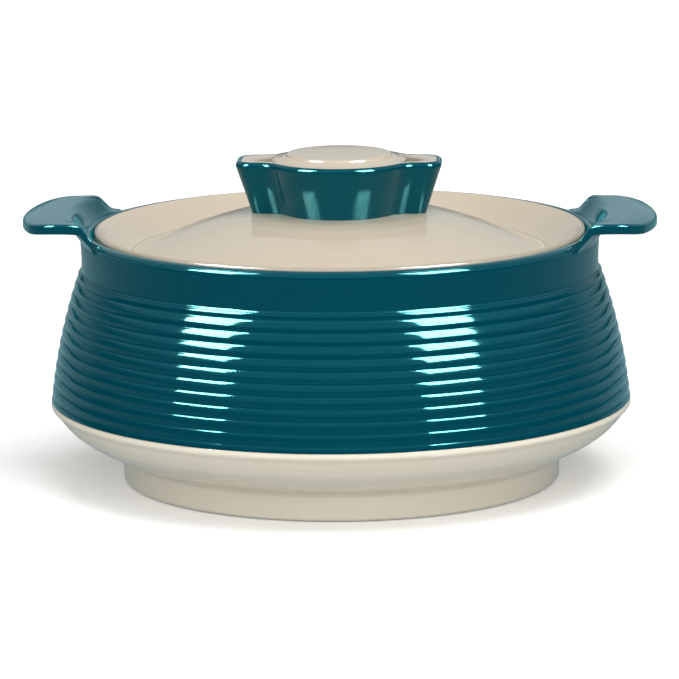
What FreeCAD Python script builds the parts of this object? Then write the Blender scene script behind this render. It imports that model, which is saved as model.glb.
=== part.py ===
"""Insulated chapati casserole: ribbed pot with two ear handles and a lift-off domed lid.

Millimetres, +Z up, origin on the table under the middle of the foot ring, handles along X.
"""
import FreeCAD, Part

import math
import os

from FreeCAD import Placement, Rotation, Vector

import Sketcher

# Driving dimensions
SIZES = {
    # Ribbed outer shell
    "seam_z": 35.5,
    "seam_radius": 124.95,
    "taper_first": 0.105,
    "taper_growth": 0.0022,
    "rib_start": 37.9,
    "rib_pitch": 5.02,
    "rib_arc": 3.6,
    "rib_swell": 0.12,
    "shoulder_z": 91.6,
    "neck_radius": 111.35,
    "neck_flare": 111.7,
    "rim_top": 108.2,
    "rim_inner": 107.0,
    "rim_round": 1.6,
    "shell_wall": 2.6,
    "ledge_z": 98.0,
    "ledge_depth": 2.4,
    "ledge_inner": 99.3,
    "neck_step": 0.6,
    "neck_drop": 0.5,
    "neck_height": 5.4,
    "bend_upper": 3.6,
    "bend_lower": 30.0,
    # Ear handles
    "ear_tip": 136.5,
    "ear_half": 40.0,
    "ear_top": 116.2,
    "ear_thick": 4.4,
    "ear_corner": 16.0,
    "ear_tip_arc": 90.0,
    "ear_flat": 117.2,
    "ear_droop": 2.3,
    "droop_start": 124.2,
    "ogee_slope": 55.0,
    "ogee_round": 4.5,
    "ogee_run": 4.8,
    "ogee_toe": 15.0,
    "web_corner": 2.0,
    "web_round": 14.0,
    "ear_edge": 1.3,
    "ear_sweep": 80.0,
    "ear_spare": 1.0,
    "ear_sink": 0.9,
    "ear_dip": 0.2,
    "ear_root": 20.0,
    # Base moulding
    "belly_radius": 125.45,
    "belly_z": 33.2,
    "band_radius": 122.5,
    "band_z": 29.6,
    "belly_arc": 51.0,
    "foot_radius": 94.4,
    "foot_height": 12.2,
    "foot_wall": 2.5,
    "floor_under": 4.8,
    "floor_over": 7.4,
    "spigot_top": 41.0,
    "spigot_radius": 122.0,
    "base_wall": 2.4,
    "fill_hole": 9.0,
    "foot_edge": 0.8,
    "foot_chamfer": 0.5,
    "foot_draft": 0.3,
    "foot_neck": 2.2,
    "foot_spread": 2.0,
    "foot_bend": 2.6,
    "band_round": 5.5,
    "plug_thick": 1.6,
    "plug_flange": 3.0,
    "plug_chamfer": 0.6,
    "plug_draft": 0.4,
    "lap_gap": 0.25,
    # Steel bowl
    "steel": 0.6,
    "mouth_radius": 97.0,
    "bowl_radius": 95.5,
    "bowl_floor": 20.6,
    "bowl_corner": 10.0,
    "flange_radius": 106.3,
    "mouth_round": 1.0,
    "mouth_roll": 1.6,
    "foam_corner": 1.2,
    "foam_belly": 2.4,
    "foam_bow": 6.0,
    # Lid
    "lid_radius": 105.6,
    "lid_top": 109.0,
    "lid_wall": 1.8,
    "skirt_inner": 103.4,
    "crest_radius": 103.9,
    "valley_wall": 92.0,
    "valley_z": 98.6,
    "valley_radius": 88.0,
    "dome_edge": 82.0,
    "dome_edge_z": 101.5,
    "pad_z": 115.5,
    "pad_radius": 37.0,
    "dome_start": 44.3,
    "dome_start_z": 114.6,
    "dome_arc": 200.0,
    "pan_radius": 95.2,
    "pan_floor": 88.0,
    "pan_wall": 1.4,
    "pan_corner": 4.0,
    "pan_flange": 1.0,
    "pan_flare": 2.1,
    "foam_dip": 2.8,
    "pan_lift": 0.3,
    "pad_margin": 1.0,
    "valley_step": 1.2,
    "valley_reach": 1.4,
    "valley_lean": 2.4,
    "valley_rise": 2.8,
    "valley_lip": 0.8,
    "valley_round": 9.0,
    "valley_under": 7.0,
    "pad_round": 30.0,
    "skirt_drop": 4.2,
    "crest_round": 1.5,
    "crest_drop": 1.2,
    "crest_reach": 0.4,
    "crest_back": 0.5,
    "lid_plug_drop": 0.8,
    "lid_plug_flange": 2.0,
    # Knob
    "knob_top": 138.5,
    "top_half": 44.2,
    "top_bulge": 31.5,
    "top_wing": 13.0,
    "top_corner": 7.5,
    "foot_half": 37.5,
    "foot_bulge": 25.0,
    "foot_wing": 6.8,
    "foot_corner": 4.5,
    "waist_round": 10.0,
    "lip": 1.9,
    "lip_round": 2.0,
    "cap_thick": 3.0,
    "cap_gap": 0.3,
    "knob_wall": 2.6,
    "disc_radius": 22.3,
    "disc_z": 141.0,
    "disc_crown": 0.6,
    "swell_radius": 29.3,
    "screw_reach": 14.0,
    "screw_radius": 1.6,
    "screw_head": 3.6,
    "screw_length": 11.0,
    "boss_radius": 4.0,
    "boss_spare": 2.0,
    "head_thick": 2.0,
    "head_overlap": 0.5,
    "lip_draw": 0.75,
    "cap_root": 1.0,
    "swell_round": 12.0,
    "disc_step": 0.9,
    "disc_lean": 0.2,
    "disc_edge": 0.6,
    "disc_fall": 0.7,
    "disc_bevel": 0.3,
}
RIBS = 11

doc = FreeCAD.newDocument("chapati_casserole")
sheet = doc.addObject("Spreadsheet::Sheet", "Sizes")
for row, (alias, size) in enumerate(SIZES.items(), start=1):
    sheet.set(f"A{row}", alias)
    sheet.set(f"B{row}", str(size))
    sheet.setAlias(f"B{row}", alias)
doc.recompute()


def formula(text):
    """Write size names as references to the sheet."""
    words = sorted(SIZES, key=len, reverse=True)
    for index, word in enumerate(words):
        text = text.replace(word, f"<{index}>")
    for index, word in enumerate(words):
        text = text.replace(f"<{index}>", f"Sizes.{word}")
    return text


def number(text):
    """The present value of a formula of sizes."""
    result = sheet.evalExpression(formula(text))
    return float(getattr(result, "Value", result))


def origin_plane(body, role):
    return next(item for item in body.Origin.OriginFeatures if item.Role == role)


def new_body(name):
    body = doc.addObject("PartDesign::Body", name)
    body.Label = name
    return body


def new_sketch(body, name, role="XZ_Plane", height=None):
    """A sketch on one of the body's own planes, raised to a height where one is given."""
    sketch = body.newObject("Sketcher::SketchObject", name)
    sketch.AttachmentSupport = [(origin_plane(body, role), "")]
    sketch.MapMode = "FlatFace"
    if height is not None:
        sketch.AttachmentOffset = Placement(Vector(0, 0, number(height)), Rotation())
        sketch.setExpression("AttachmentOffset.Base.z", formula(height))
    return sketch


def arc_between(start, end, radius, turn):
    """An arc of a radius from start to end: turn 1 bows to the right of the way, -1 to the left."""
    chord = end - start
    half = chord.Length / 2
    middle = (start + end) / 2
    side = Vector(-chord.y, chord.x, 0).normalize() * turn
    centre = middle + side * math.sqrt(radius * radius - half * half)
    apex = centre - side * radius
    return Part.Arc(start, apex, end)


def closed_outline(sketch, corners, bends=None):
    """A closed outline through corners of size formulas; bends gives some sides a radius and a turn."""
    bends = bends or {}
    points = [Vector(number(x), number(y), 0) for x, y in corners]
    count = len(points)
    starts = []
    ends = []
    for side in range(count):
        start = points[side]
        end = points[(side + 1) % count]
        if side in bends:
            radius, turn = bends[side]
            edge = sketch.addGeometry(arc_between(start, end, number(radius), turn), False)
            # An arc's own start lies where the turn is anticlockwise
            starts.append(1 if turn > 0 else 2)
            ends.append(2 if turn > 0 else 1)
            held = sketch.addConstraint(Sketcher.Constraint("Radius", edge, number(radius)))
            sketch.setExpression(f"Constraints[{held}]", formula(radius))
        else:
            sketch.addGeometry(Part.LineSegment(start, end), False)
            starts.append(1)
            ends.append(2)
    for side in range(count):
        following = (side + 1) % count
        sketch.addConstraint(Sketcher.Constraint("Coincident", side, ends[side], following, starts[following]))
    for side, (x, y) in enumerate(corners):
        for kind, text in (("DistanceX", x), ("DistanceY", y)):
            held = sketch.addConstraint(Sketcher.Constraint(kind, -1, 1, side, starts[side], number(text)))
            sketch.setExpression(f"Constraints[{held}]", formula(text))


def turned(body, name, corners, bends=None):
    """A ring or disc revolved about the upright axis."""
    sketch = new_sketch(body, name + "_section")
    closed_outline(sketch, corners, bends)
    feature = body.newObject("PartDesign::Revolution", name)
    feature.Profile = sketch
    feature.ReferenceAxis = (sketch, ["V_Axis"])
    feature.Angle = 360
    sketch.Visibility = False
    return feature


def wall_radius(z):
    """Radius of the shell's taper at a height, as a formula."""
    rise = f"({z} - seam_z)"
    return f"seam_radius - taper_first * {rise} - taper_growth * {rise} * {rise}"


def make_shell_ring():
    """The ribbed wall, neck, rim and inner ledge, as one turned section."""
    corners = [(f"{wall_radius('seam_z')}", "seam_z")]
    bends = {}
    for rib in range(RIBS):
        line_z = f"(rib_start + {rib} * rib_pitch)"
        middle_z = f"(rib_start + ({rib} + 0.5) * rib_pitch)"
        bends[len(corners) - 1] = ("rib_arc", 1)
        corners.append((wall_radius(line_z), line_z))
        if rib < RIBS - 1:
            bends[len(corners) - 1] = ("rib_arc", -1)
            corners.append((f"{wall_radius(middle_z)} + rib_swell", middle_z))
    corners.append(("neck_radius + neck_step", "shoulder_z - neck_drop"))
    corners.append(("neck_radius", "shoulder_z + neck_step"))
    corners.append(("neck_radius", "shoulder_z + neck_height"))
    corners.append(("neck_flare", "rim_top - rim_round * 2"))
    bends[len(corners) - 1] = ("rim_round * 1.6", 1)
    corners.append(("neck_flare - rim_round", "rim_top"))
    corners.append(("rim_inner + rim_round / 2", "rim_top"))
    bends[len(corners) - 1] = ("rim_round / 2", 1)
    corners.append(("rim_inner", "rim_top - rim_round / 2"))
    corners.append(("rim_inner", "ledge_z"))
    corners.append(("ledge_inner", "ledge_z"))
    corners.append(("ledge_inner", "ledge_z - ledge_depth"))
    corners.append(("neck_radius - shell_wall", "ledge_z - ledge_depth"))
    corners.append(("neck_radius - shell_wall", "shoulder_z"))
    corners.append((f"{wall_radius('(shoulder_z - bend_upper)')} - shell_wall", "shoulder_z - bend_upper"))
    corners.append((f"{wall_radius('(shoulder_z - bend_lower)')} - shell_wall", "shoulder_z - bend_lower"))
    corners.append((f"{wall_radius('spigot_top')} - shell_wall", "spigot_top + lap_gap"))
    corners.append(("spigot_radius + lap_gap", "spigot_top + lap_gap"))
    corners.append(("spigot_radius + lap_gap", "seam_z"))
    body = new_body("shell_ring")
    turned(body, "ribbed_wall", corners, bends)
    return body


def make_ear():
    """One ear handle: an ogee section turned about the pot's axis and trimmed to the ear's plan."""
    section = new_body("ear_section")
    crown_x = "(ear_flat - ogee_round * sin(ogee_slope))"
    crown_z = "(ear_top - ogee_round * (1 - cos(ogee_slope)))"
    foot_x = f"({crown_x} - ogee_run * cos(ogee_slope))"
    foot_z = f"({crown_z} - ogee_run * sin(ogee_slope))"
    toe_x = f"({foot_x} - ogee_round * (sin(ogee_slope) - sin(ogee_toe)))"
    toe_z = f"({foot_z} - ogee_round * (cos(ogee_toe) - cos(ogee_slope)))"
    under_x = "(ear_flat - web_corner * sin(ogee_slope))"
    under_z = "(ear_top - ear_thick - web_corner * (1 - cos(ogee_slope)))"
    web_x = f"({under_x} - ogee_run * cos(ogee_slope))"
    web_z = f"({under_z} - ogee_run * sin(ogee_slope))"
    droop_run = "(ear_tip + ear_spare - droop_start)"
    droop_arc = f"(({droop_run}^2 + ear_droop^2) / (2 * ear_droop))"
    corners = [
        ("rim_inner + ear_sink", f"{web_z} - web_round * cos(ogee_slope)"),
        (f"{web_x} - web_round * (1 - sin(ogee_slope))", f"{web_z} - web_round * cos(ogee_slope)"),
        (web_x, web_z),
        (under_x, under_z),
        ("ear_flat", "ear_top - ear_thick"),
        ("droop_start", "ear_top - ear_thick"),
        ("ear_tip + ear_spare", "ear_top - ear_thick - ear_droop"),
        ("ear_tip + ear_spare", "ear_top - ear_droop"),
        ("droop_start", "ear_top"),
        ("ear_flat", "ear_top"),
        (crown_x, crown_z),
        (foot_x, foot_z),
        (toe_x, toe_z),
        ("rim_inner + ear_sink", "rim_top - ear_dip"),
    ]
    bends = {
        1: ("web_round", -1),
        3: ("web_corner", -1),
        5: (droop_arc, -1),
        7: (droop_arc, 1),
        9: ("ogee_round", 1),
        11: ("ogee_round", -1),
    }
    ogee = turned(section, "ear_ogee", corners, bends)
    ogee.Angle = number("ear_sweep")
    ogee.setExpression("Angle", formula("ear_sweep"))
    ogee.Midplane = True
    plan = new_body("ear_plan")
    outline = new_sketch(plan, "ear_outline", "XY_Plane", "seam_z")
    across = "(ear_half - ear_corner)"
    tip_centre = "(ear_tip - ear_tip_arc)"
    between = "(ear_tip_arc - ear_corner)"
    corner_x = f"({tip_centre} + sqrt({between}^2 - {across}^2))"
    join_x = f"({tip_centre} + ear_tip_arc * sqrt({between}^2 - {across}^2) / {between})"
    join_y = f"(ear_tip_arc * {across} / {between})"
    flare = f"(({corner_x}^2 + ear_half^2 - neck_radius^2) / (2 * (neck_radius - ear_half)))"
    root_x = f"({corner_x} * neck_radius / (neck_radius + {flare}))"
    root_y = f"((ear_half + {flare}) * neck_radius / (neck_radius + {flare}))"
    corners = [
        ("ledge_inner - ear_root", f"-{root_y}"),
        (root_x, f"-{root_y}"),
        (corner_x, "-ear_half"),
        (join_x, f"-{join_y}"),
        (join_x, join_y),
        (corner_x, "ear_half"),
        (root_x, root_y),
        ("ledge_inner - ear_root", root_y),
    ]
    bends = {
        1: (flare, -1),
        2: ("ear_corner", 1),
        3: ("ear_tip_arc", 1),
        4: ("ear_corner", 1),
        5: (flare, -1),
    }
    closed_outline(outline, corners, bends)
    pad = plan.newObject("PartDesign::Pad", "ear_block")
    pad.Profile = outline
    pad.Length = number("rim_top")
    pad.setExpression("Length", formula("rim_top"))
    trimmed = doc.addObject("Part::Common", "ear_trimmed")
    trimmed.Base = section
    trimmed.Tool = plan
    doc.recompute()
    rounded = doc.addObject("Part::Fillet", "ear_right")
    rounded.Base = trimmed
    radius = number("ear_edge")
    rounded.Edges = [(index, radius, radius) for index in ear_edges(trimmed.Shape)]
    left = doc.addObject("Part::Mirroring", "ear_left")
    left.Source = rounded
    left.Normal = Vector(1, 0, 0)
    return rounded, left


def ear_edges(shape):
    """The long edges round an ear, between its upright sides and its upper and lower faces."""
    chosen = []
    neck = number("neck_radius + 2")
    for index, edge in enumerate(shape.Edges, start=1):
        middle = edge.valueAt((edge.FirstParameter + edge.LastParameter) / 2)
        upright = abs(edge.Vertexes[0].Z - edge.Vertexes[-1].Z) > number("ear_thick") * 0.9
        faces = [face for face in shape.Faces if any(edge.isSame(other) for other in face.Edges)]
        beside_side = sum(is_upright(face) for face in faces) == 1
        if beside_side and not upright and math.hypot(middle.x, middle.y) > neck:
            chosen.append(index)
    return chosen


def is_upright(face):
    low_u, high_u, low_v, high_v = face.ParameterRange
    normal = face.normalAt((low_u + high_u) / 2, (low_v + high_v) / 2)
    return abs(normal.z) < 0.02


def make_outer_shell():
    ring = make_shell_ring()
    ear_right, ear_left = make_ear()
    shell = doc.addObject("Part::MultiFuse", "outer_shell")
    shell.Label = "outer_shell"
    shell.Shapes = [ring, ear_right, ear_left]
    return shell


def make_base_shell():
    """The beige moulding: spigot behind the seam, proud band, belly, foot ring and floor."""
    body = new_body("base_shell")
    corners = [
        ("fill_hole", "floor_under"),
        ("foot_radius - foot_wall", "floor_under"),
        ("foot_radius - foot_wall", "foot_chamfer"),
        ("foot_radius - foot_wall + foot_chamfer", "0"),
        ("foot_radius - foot_edge", "0"),
        ("foot_radius", "foot_edge"),
        ("foot_radius + foot_draft", "foot_height - foot_neck"),
        ("foot_radius + foot_spread", "foot_height"),
        ("band_radius", "band_z"),
        ("belly_radius", "belly_z"),
        ("seam_radius", "seam_z"),
        ("spigot_radius", "seam_z"),
        ("spigot_radius", "spigot_top"),
        ("spigot_radius - base_wall", "spigot_top"),
        ("spigot_radius - base_wall", "belly_z"),
        ("band_radius - base_wall", "band_z"),
        ("foot_radius", "foot_height + base_wall"),
        ("foot_radius - foot_wall", "foot_height"),
        ("foot_radius - foot_wall", "floor_over"),
        ("fill_hole", "floor_over"),
    ]
    bends = {
        4: ("foot_edge", 1),
        6: ("foot_bend", -1),
        7: ("belly_arc", 1),
        8: ("band_round", 1),
        15: ("belly_arc", -1),
    }
    turned(body, "base_wall_ring", corners, bends)
    return body


def make_base_plug():
    """Press-in plug of the foam hole, seated in the recess under the floor."""
    body = new_body("base_plug")
    corners = [
        ("0", "floor_under - plug_thick"),
        ("fill_hole + plug_flange - plug_chamfer", "floor_under - plug_thick"),
        ("fill_hole + plug_flange", "floor_under - plug_thick + plug_chamfer"),
        ("fill_hole + plug_flange", "floor_under"),
        ("fill_hole", "floor_under"),
        ("fill_hole - plug_draft", "floor_over"),
        ("0", "floor_over"),
    ]
    turned(body, "plug_disc", corners)
    return body


def make_inner_liner():
    """Drawn steel bowl with a flat flange that lies on the shell's ledge."""
    body = new_body("inner_liner")
    corners = [
        ("0", "bowl_floor - steel"),
        ("bowl_radius + steel - bowl_corner", "bowl_floor - steel"),
        ("bowl_radius + steel", "bowl_floor - steel + bowl_corner"),
        ("mouth_radius + steel", "ledge_z - mouth_round"),
        ("mouth_radius + steel + mouth_round", "ledge_z"),
        ("flange_radius", "ledge_z"),
        ("flange_radius", "ledge_z + steel"),
        ("mouth_radius + mouth_roll", "ledge_z + steel"),
        ("mouth_radius", "ledge_z + steel - mouth_roll"),
        ("bowl_radius", "bowl_floor + bowl_corner - steel"),
        ("bowl_radius - bowl_corner + steel", "bowl_floor"),
        ("0", "bowl_floor"),
    ]
    bends = {
        1: ("bowl_corner", 1),
        3: ("mouth_round", -1),
        7: ("mouth_roll", 1),
        9: ("bowl_corner - steel * 2", -1),
    }
    turned(body, "bowl_wall", corners, bends)
    return body


def make_body_insulation():
    """Rigid foam that fills the space between the bowl and the two outer mouldings."""
    body = new_body("body_insulation")
    inner = "bowl_radius + steel + lap_gap"
    corners = [
        ("0", "floor_over + lap_gap"),
        ("foot_radius - foot_wall - lap_gap", "floor_over + lap_gap"),
        ("foot_radius - foot_wall - lap_gap", "foot_height + base_wall + foam_corner"),
        ("band_radius - base_wall - mouth_round", "band_z + foam_belly"),
        ("spigot_radius - base_wall - lap_gap", "belly_z + mouth_round"),
        ("spigot_radius - base_wall - lap_gap", "spigot_top + mouth_round"),
        (f"{wall_radius('(shoulder_z - bend_lower)')} - shell_wall - lap_gap * 2", "shoulder_z - bend_lower"),
        (f"{wall_radius('(shoulder_z - bend_upper)')} - shell_wall - lap_gap * 2", "shoulder_z - bend_upper"),
        ("neck_radius - shell_wall - lap_gap", "shoulder_z"),
        ("neck_radius - shell_wall - lap_gap", "ledge_z - ledge_depth - lap_gap"),
        ("mouth_radius + steel + lap_gap", "ledge_z - ledge_depth - lap_gap"),
        (inner, "bowl_floor - steel + bowl_corner"),
        (f"{inner} - bowl_corner - lap_gap", "bowl_floor - steel - lap_gap"),
        ("0", "bowl_floor - steel - lap_gap"),
    ]
    bends = {2: ("belly_arc + foam_bow", 1), 11: ("bowl_corner + lap_gap", -1)}
    turned(body, "foam_fill", corners, bends)
    return body


def make_lid_cover():
    """Tray-shaped lid top: skirt, rounded crest, sloping inner wall, valley, dome and flat knob pad."""
    body = new_body("lid_cover")
    seat = "ledge_z + steel"
    corners = [
        ("0", "pad_z"),
        ("0", "pad_z - lid_wall"),
        ("pad_radius - pad_margin", "pad_z - lid_wall"),
        ("dome_start - pad_margin", "dome_start_z - lid_wall"),
        ("dome_edge - pad_margin", "dome_edge_z - lid_wall"),
        ("valley_radius", "valley_z - lid_wall"),
        ("valley_wall + valley_reach", "valley_z + valley_step - lid_wall"),
        ("skirt_inner", "lid_top - skirt_drop"),
        ("skirt_inner", seat),
        ("lid_radius - crest_reach", seat),
        ("lid_radius", f"{seat} + crest_reach"),
        ("lid_radius", "lid_top - crest_drop"),
        ("crest_radius + crest_reach", "lid_top"),
        ("crest_radius - crest_back", "lid_top - crest_reach"),
        ("valley_wall + valley_lean", "valley_z + valley_rise"),
        ("valley_wall - valley_lip", "valley_z + valley_lip"),
        ("valley_radius", "valley_z"),
        ("dome_edge", "dome_edge_z"),
        ("dome_start", "dome_start_z"),
        ("pad_radius", "pad_z"),
    ]
    bends = {
        3: ("dome_arc", -1),
        4: ("valley_round", 1),
        5: ("valley_under", 1),
        11: ("crest_round", 1),
        12: ("crest_round", 1),
        14: ("valley_round", -1),
        15: ("valley_round", -1),
        16: ("valley_round", -1),
        17: ("dome_arc", 1),
        18: ("pad_round", 1),
    }
    turned(body, "tray_wall", corners, bends)
    holes = new_sketch(body, "screw_places", "XY_Plane", "pad_z")
    circles(holes, "screw_radius + lap_gap")
    drilled = body.newObject("PartDesign::Pocket", "screw_clearance")
    drilled.Profile = holes
    drilled.Length = number("lid_wall * 2")
    drilled.setExpression("Length", formula("lid_wall * 2"))
    return body


def make_lid_liner():
    """White inner pan that closes the lid from below and drops into the bowl's mouth."""
    body = new_body("lid_liner")
    seat = "(ledge_z + steel + pan_lift)"
    inside = "(pan_radius - pan_wall)"
    corners = [
        ("fill_hole", "pan_floor"),
        ("pan_radius - pan_corner", "pan_floor"),
        ("pan_radius", "pan_floor + pan_corner"),
        ("pan_radius", f"{seat} - pan_wall - lap_gap / 2"),
        ("pan_radius + pan_flare", seat),
        ("skirt_inner - lap_gap", seat),
        ("skirt_inner - lap_gap", f"{seat} + pan_flange"),
        ("pan_radius + pan_flare - lap_gap * 2", f"{seat} + pan_flange"),
        (inside, "valley_z - pan_flange"),
        (inside, "pan_floor + pan_corner"),
        ("pan_radius - pan_corner", "pan_floor + pan_wall"),
        ("fill_hole", "pan_floor + pan_wall"),
    ]
    bends = {1: ("pan_corner", 1), 9: ("pan_corner - pan_wall", -1)}
    turned(body, "pan_wall_ring", corners, bends)
    return body


def make_lid_plug():
    """Plug of the lid's foam hole, flush under the pan."""
    body = new_body("lid_plug")
    corners = [
        ("0", "pan_floor - lid_plug_drop"),
        ("fill_hole + lid_plug_flange - neck_drop", "pan_floor - lid_plug_drop"),
        ("fill_hole + lid_plug_flange", "pan_floor"),
        ("fill_hole", "pan_floor"),
        ("fill_hole - foot_draft", "pan_floor + pan_wall"),
        ("0", "pan_floor + pan_wall"),
    ]
    turned(body, "lid_plug_disc", corners)
    return body


def make_lid_insulation():
    """Rigid foam between the lid's two skins, with room left for the screw heads."""
    body = new_body("lid_insulation")
    under = "(lid_wall + lap_gap)"
    screw_room = "(screw_reach + screw_head + head_thick)"
    corners = [
        ("0", "pan_floor + pan_wall + lap_gap"),
        ("pan_radius - pan_corner - pad_margin", "pan_floor + pan_wall + lap_gap"),
        ("pan_radius - pan_wall - lap_gap", "pan_floor + pan_corner"),
        ("pan_radius - pan_wall - lap_gap", "valley_z - foam_dip"),
        ("valley_radius", "valley_z - foam_dip"),
        ("dome_edge - pad_margin * 3", f"dome_edge_z - {under} - lid_wall"),
        ("dome_start - pad_margin", f"dome_start_z - {under} - steel"),
        (screw_room, f"pad_z - {under} - steel"),
        (screw_room, f"pad_z - {under} - screw_head"),
        ("0", f"pad_z - {under} - screw_head"),
    ]
    bends = {5: ("dome_arc", 1)}
    turned(body, "lid_foam_fill", corners, bends)
    return body


def bow_tie(sketch, half, bulge, wing, corner, shrink="0"):
    """The knob's plan: a round middle, drawn-in waists and two wings with rounded ends."""
    half = f"({half} - {shrink})"
    bulge = f"({bulge} - {shrink})"
    wing = f"({wing} - {shrink})"
    corner = f"({corner} - {shrink} / 2)"
    outside = f"({bulge} + waist_round)"
    waist_y = f"({wing} + waist_round)"
    waist_x = f"sqrt({outside}^2 - {waist_y}^2)"
    meet_x = f"({waist_x} * {bulge} / {outside})"
    meet_y = f"({waist_y} * {bulge} / {outside})"
    quarter = [
        (half, f"({wing} - {corner})"),
        (f"({half} - {corner})", wing),
        (waist_x, wing),
        (meet_x, meet_y),
    ]
    corners = list(quarter)
    corners += [(f"-({x})", y) for x, y in reversed(quarter)]
    corners += [(f"-({x})", f"-({y})") for x, y in quarter]
    corners += [(x, f"-({y})") for x, y in reversed(quarter)]
    bends = {}
    for base in (0, 8):
        bends[base] = (corner, 1)
        bends[base + 2] = ("waist_round", -1)
        bends[base + 3] = (bulge, 1)
        bends[base + 4] = ("waist_round", -1)
        bends[base + 6] = (corner, 1)
    closed_outline(sketch, corners, bends)


def make_knob_body():
    """Hollow bow-tie knob that flares upwards, with a seat for its cap and two screw bosses."""
    body = new_body("knob_body")
    foot = new_sketch(body, "knob_foot_outline", "XY_Plane", "pad_z")
    bow_tie(foot, "foot_half", "foot_bulge", "foot_wing", "foot_corner")
    brow = new_sketch(body, "knob_brow_outline", "XY_Plane", "knob_top - lip_round")
    bow_tie(brow, "top_half", "top_bulge", "top_wing", "top_corner")
    flare = body.newObject("PartDesign::AdditiveLoft", "knob_flare")
    flare.Profile = foot
    flare.Sections = [brow]
    flare.Ruled = True
    base = new_sketch(body, "lip_base_outline", "XY_Plane", "knob_top - lip_round")
    bow_tie(base, "top_half", "top_bulge", "top_wing", "top_corner")
    top = new_sketch(body, "knob_top_outline", "XY_Plane", "knob_top")
    bow_tie(top, "top_half", "top_bulge", "top_wing", "top_corner", "lip_round * lip_draw")
    lip = body.newObject("PartDesign::AdditiveLoft", "knob_lip")
    lip.Profile = base
    lip.Sections = [top]
    lip.Ruled = True
    seat = new_sketch(body, "cap_seat_outline", "XY_Plane", "knob_top")
    bow_tie(seat, "top_half", "top_bulge", "top_wing", "top_corner", "lip")
    recess = body.newObject("PartDesign::Pocket", "cap_seat")
    recess.Profile = seat
    recess.Length = number("cap_thick")
    recess.setExpression("Length", formula("cap_thick"))
    hollow = new_sketch(body, "hollow_outline", "XY_Plane", "knob_top")
    bow_tie(hollow, "foot_half", "foot_bulge", "foot_wing", "foot_corner", "knob_wall")
    cavity = body.newObject("PartDesign::Pocket", "knob_hollow")
    cavity.Profile = hollow
    cavity.Length = number("knob_top - pad_z - knob_wall")
    cavity.setExpression("Length", formula("knob_top - pad_z - knob_wall"))
    bosses = new_sketch(body, "boss_outline", "XY_Plane", "pad_z")
    circles(bosses, "boss_radius")
    posts = body.newObject("PartDesign::Pad", "screw_bosses")
    posts.Profile = bosses
    posts.Length = number("screw_length + boss_spare")
    posts.setExpression("Length", formula("screw_length + boss_spare"))
    pilots = new_sketch(body, "pilot_outline", "XY_Plane", "pad_z")
    circles(pilots, "screw_radius")
    drilled = body.newObject("PartDesign::Pocket", "screw_pilots")
    drilled.Profile = pilots
    drilled.Length = number("screw_length")
    drilled.setExpression("Length", formula("screw_length"))
    drilled.Reversed = True
    return body


def circles(sketch, radius):
    """A circle at each of the two screw places."""
    for side in (-1, 1):
        centre = Vector(side * number("screw_reach"), 0, 0)
        ring = sketch.addGeometry(Part.Circle(centre, Vector(0, 0, 1), number(radius)), False)
        rule = sketch.addConstraint(Sketcher.Constraint("Radius", ring, number(radius)))
        sketch.setExpression(f"Constraints[{rule}]", formula(radius))
        rule = sketch.addConstraint(Sketcher.Constraint("DistanceX", -1, 1, ring, 3, centre.x))
        sketch.setExpression(f"Constraints[{rule}]", formula(f"{side} * screw_reach"))
        sketch.addConstraint(Sketcher.Constraint("PointOnObject", ring, 3, -1))


def make_knob_cap():
    """Flush inlay of the knob's top, swelling up to a raised round pad in its middle."""
    body = new_body("knob_cap")
    outline = new_sketch(body, "cap_outline", "XY_Plane", "knob_top - cap_thick")
    bow_tie(outline, "top_half", "top_bulge", "top_wing", "top_corner", "(lip + cap_gap)")
    plate = body.newObject("PartDesign::Pad", "cap_plate")
    plate.Profile = outline
    plate.Length = number("cap_thick")
    plate.setExpression("Length", formula("cap_thick"))
    corners = [
        ("0", "knob_top - cap_root"),
        ("swell_radius - cap_root / 2", "knob_top - cap_root"),
        ("swell_radius", "knob_top"),
        ("disc_radius + disc_step", "disc_z - disc_fall"),
        ("disc_radius + disc_lean", "disc_z - disc_bevel"),
        ("disc_radius - disc_edge", "disc_z"),
        ("0", "disc_z + disc_crown"),
    ]
    crown_arc = "((disc_radius - disc_edge)^2 + disc_crown^2) / (2 * disc_crown)"
    bends = {2: ("swell_round", -1), 5: (crown_arc, 1)}
    turned(body, "cap_swell", corners, bends)
    return body


def make_knob_screws():
    """Two pan-headed screws through the lid cover into the knob's bosses."""
    body = new_body("knob_screws")
    head = new_sketch(body, "screw_head_outline", "XY_Plane", "pad_z - lid_wall - head_thick")
    circles(head, "screw_head")
    heads = body.newObject("PartDesign::Pad", "screw_heads")
    heads.Profile = head
    heads.Length = number("head_thick")
    heads.setExpression("Length", formula("head_thick"))
    doc.recompute()
    shank = new_sketch(body, "screw_shank_outline", "XY_Plane", "pad_z - lid_wall - head_overlap")
    circles(shank, "screw_radius")
    shanks = body.newObject("PartDesign::Pad", "screw_shanks")
    shanks.Profile = shank
    shanks.Length = number("lid_wall + screw_length - head_overlap")
    shanks.setExpression("Length", formula("lid_wall + screw_length - head_overlap"))
    return body


def report_faults():
    """Names of objects that did not build."""
    return [item.Label for item in doc.Objects if "Invalid" in item.State or "Error" in item.State]


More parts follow.
